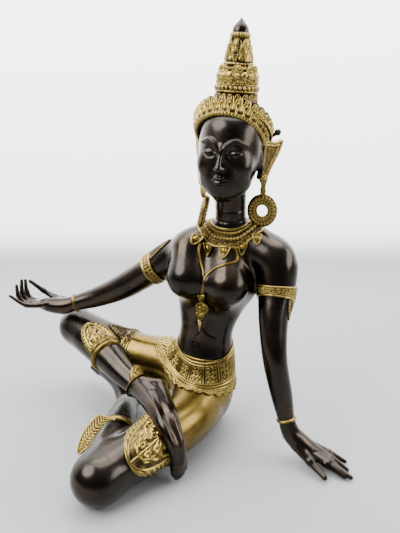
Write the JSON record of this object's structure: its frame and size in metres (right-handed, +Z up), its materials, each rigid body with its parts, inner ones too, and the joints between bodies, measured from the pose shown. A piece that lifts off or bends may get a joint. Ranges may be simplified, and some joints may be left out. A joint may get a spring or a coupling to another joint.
{
  "type": "seated dancer figure",
  "caption": "Seated dancer figure in dark bronze with a tall tiered crown, ring ear ornaments, jewellery and polished trousers, leaning on a straight arm.",
  "frame": {"origin": "centre of the bounding box on the ground that the figure rests on", "axes": "+Z up, -Y towards the front, +X to the figure's left"},
  "size_m": [0.2608, 0.1682, 0.3004],
  "materials": {
    "dark_bronze": "glossy near-black brown patina",
    "polished_brass": "polished, with dark recesses"
  },
  "bodies": {
    "root": {"dancer_figure": "dark_bronze"}
  },
  "joints": []
}
